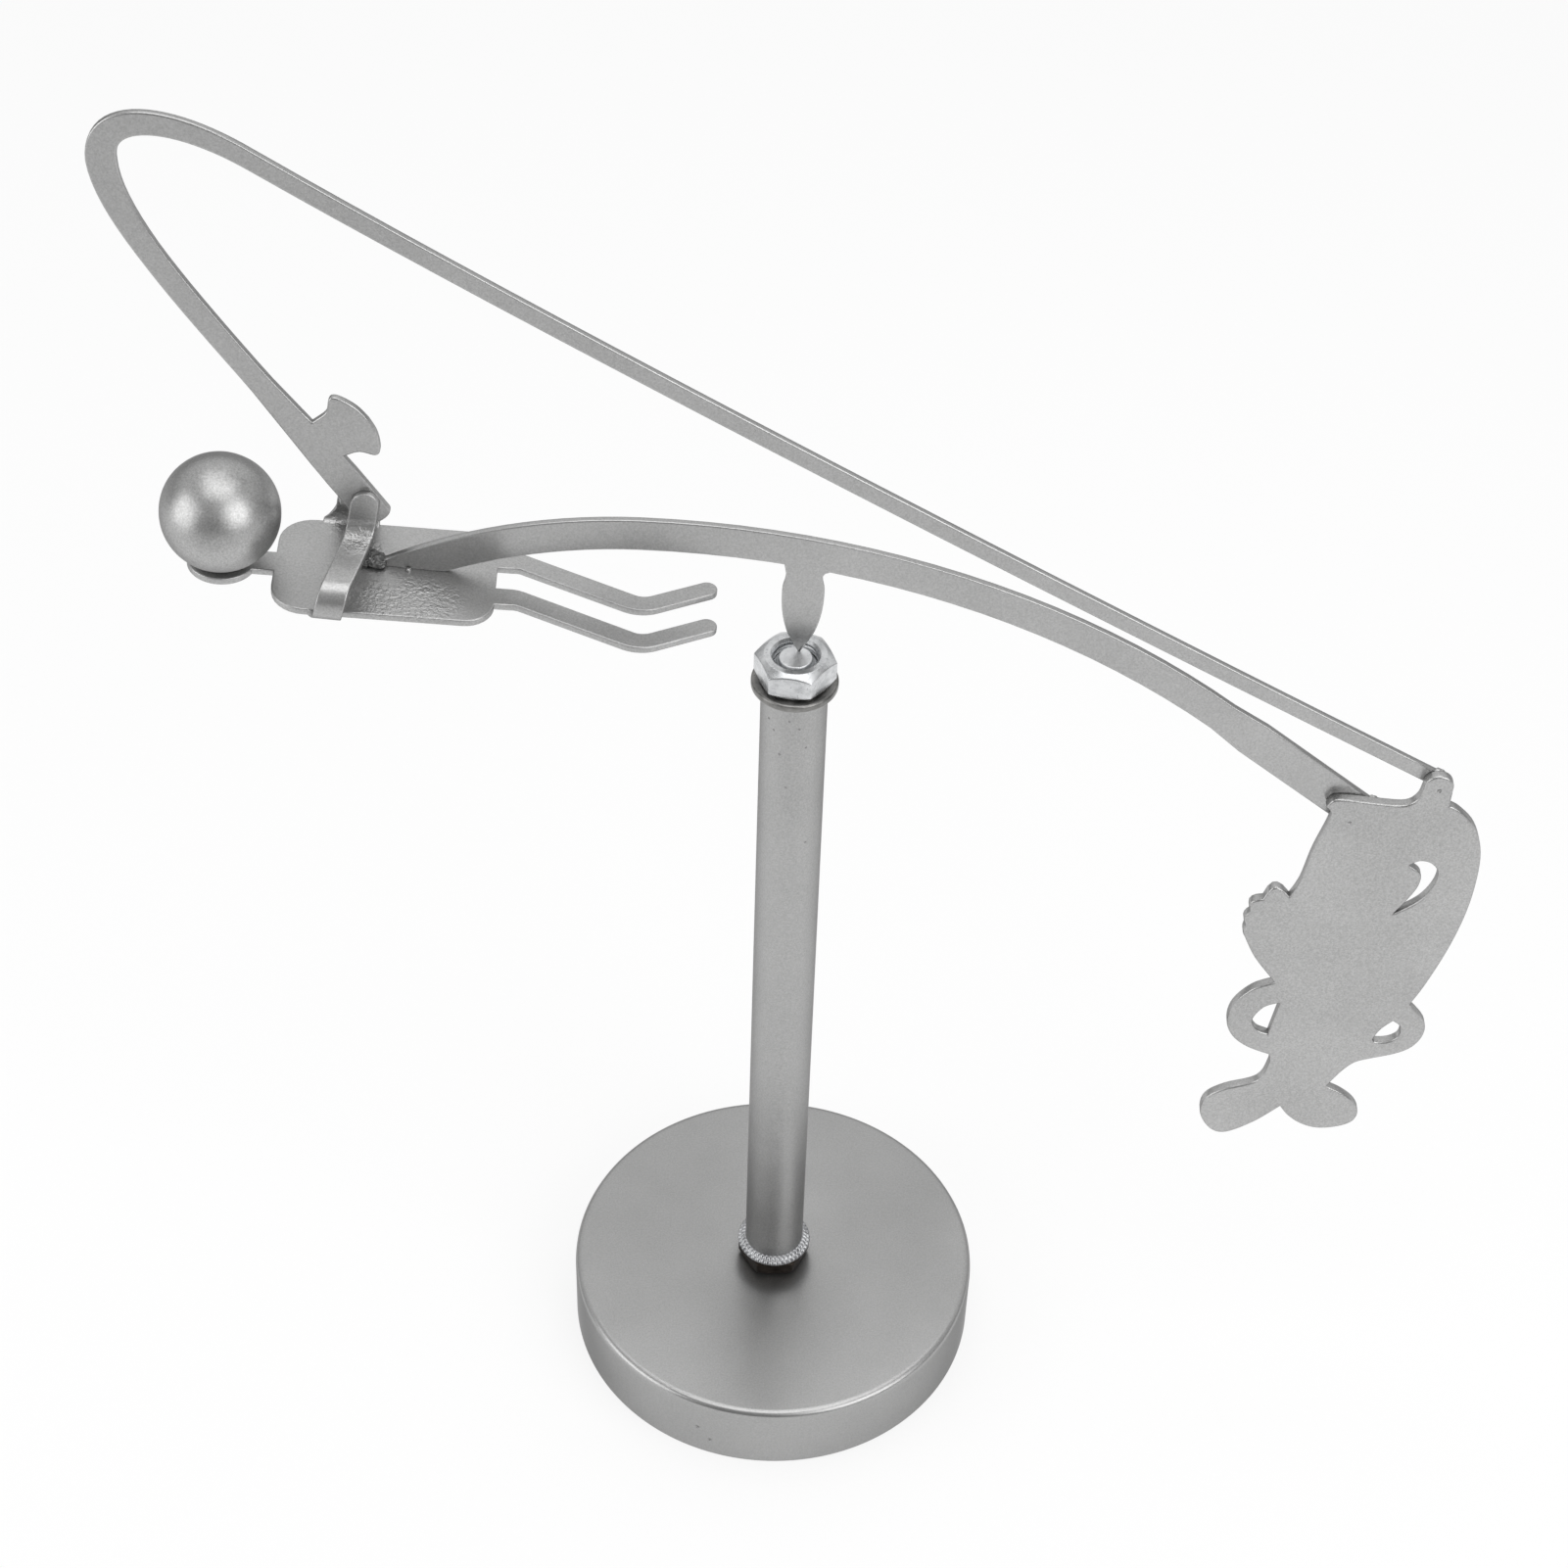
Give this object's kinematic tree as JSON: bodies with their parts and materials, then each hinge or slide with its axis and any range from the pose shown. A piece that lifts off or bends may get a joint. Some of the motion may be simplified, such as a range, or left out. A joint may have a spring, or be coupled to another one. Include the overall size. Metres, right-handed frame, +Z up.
{
  "type": "counterweight balancing toy",
  "caption": "Sheet-steel balancing toy: an angler on an arched beam, with rod and line held down by a fish-shaped counterweight, rocks and turns on a point on top of a round-based post.",
  "frame": {"origin": "centre of the base's flat underside, where the toy stands on a table", "axes": "+Z up along the post; the figure's plane is parallel to X-Z with the angler at -X and the fish at +X; +Y is away from the viewer of the picture"},
  "size_m": [0.1863, 0.065, 0.2224],
  "materials": {
    "silver_paint": "satin silver-grey paint with a fine metallic grain",
    "zinc": "bright zinc plate with fine scratches",
    "raw_steel": "dull bare steel",
    "dark_steel": "dark brownish steel"
  },
  "bodies": {
    "stand": {"base_disc": "silver_paint", "through_bolt": "zinc", "foot_nut": "dark_steel", "lock_ring": "zinc", "post_tube": "silver_paint", "top_washer": "raw_steel", "pivot_nut": "zinc"},
    "pivot": {"pivot_point": "silver_paint"},
    "figure": {"balance_beam": "silver_paint", "angler_plate": "silver_paint", "head_ball": "silver_paint", "fishing_rod": "silver_paint", "fish_plate": "silver_paint", "seat_weld": "silver_paint", "ball_weld": "silver_paint", "fish_weld": "silver_paint", "line_weld": "silver_paint"}
  },
  "joints": [
    {"name": "spin", "type": "hinge", "parent": "stand", "child": "pivot", "pos_m": [0.0004, 0.0012, 0.14272], "axis": [0, 0, 1], "continuous": true},
    {"name": "rock", "type": "hinge", "parent": "pivot", "child": "figure", "pos_m": [0.0004, 0.0012, 0.14272], "axis": [0, 1, 0], "range_deg": [-25, 25]}
  ]
}
